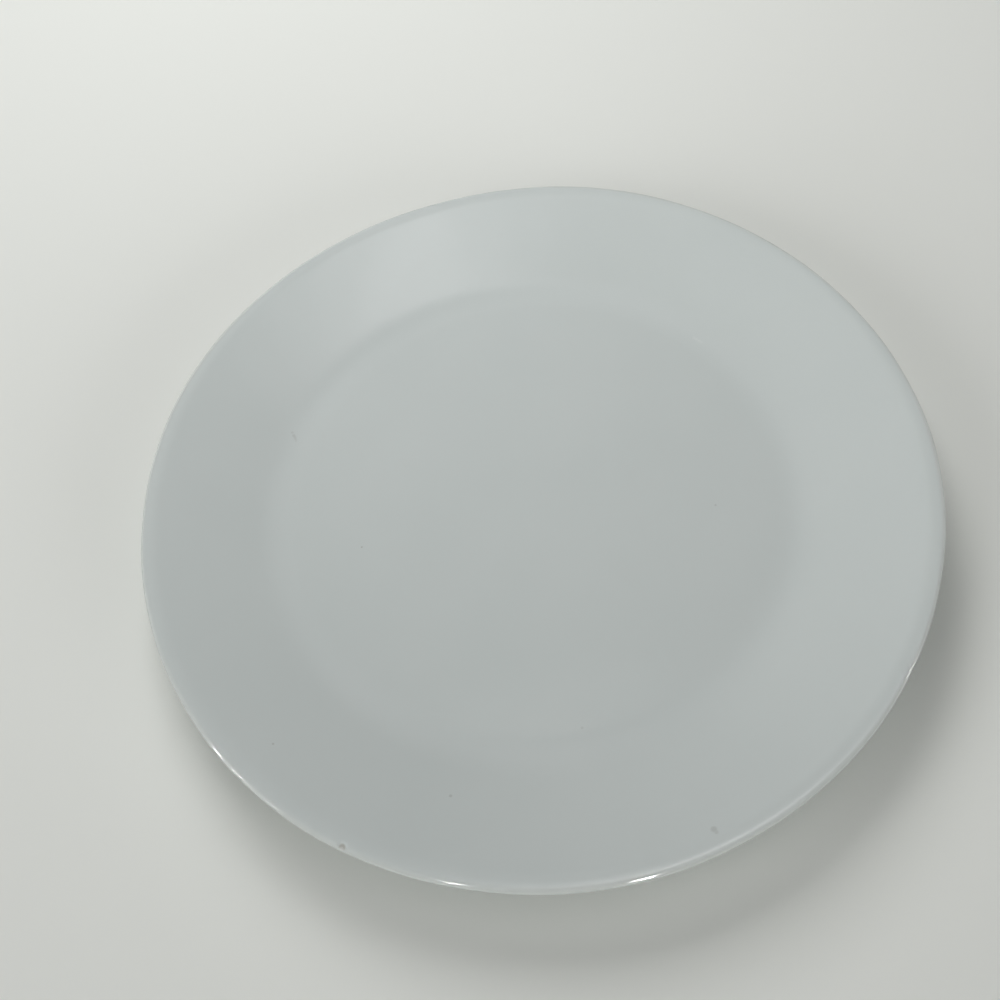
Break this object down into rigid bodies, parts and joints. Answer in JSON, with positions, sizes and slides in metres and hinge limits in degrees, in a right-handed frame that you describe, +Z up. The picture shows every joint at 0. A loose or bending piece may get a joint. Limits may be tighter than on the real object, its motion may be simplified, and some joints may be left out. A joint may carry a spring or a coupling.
{
  "type": "side plate",
  "caption": "Round coupe side plate in white glazed porcelain, with a flat well, a flared wall that eases into a full-round lip, and a foot ring underneath.",
  "frame": {"origin": "middle of the plane that the foot ring stands on", "axes": "+Z up through the middle of the plate, which is round about it; +X and +Y are any two level directions at right angles"},
  "size_m": [0.19, 0.19, 0.0175],
  "materials": {
    "glaze": "clear gloss glaze over white porcelain"
  },
  "bodies": {
    "root": {"plate": "glaze"}
  },
  "joints": []
}
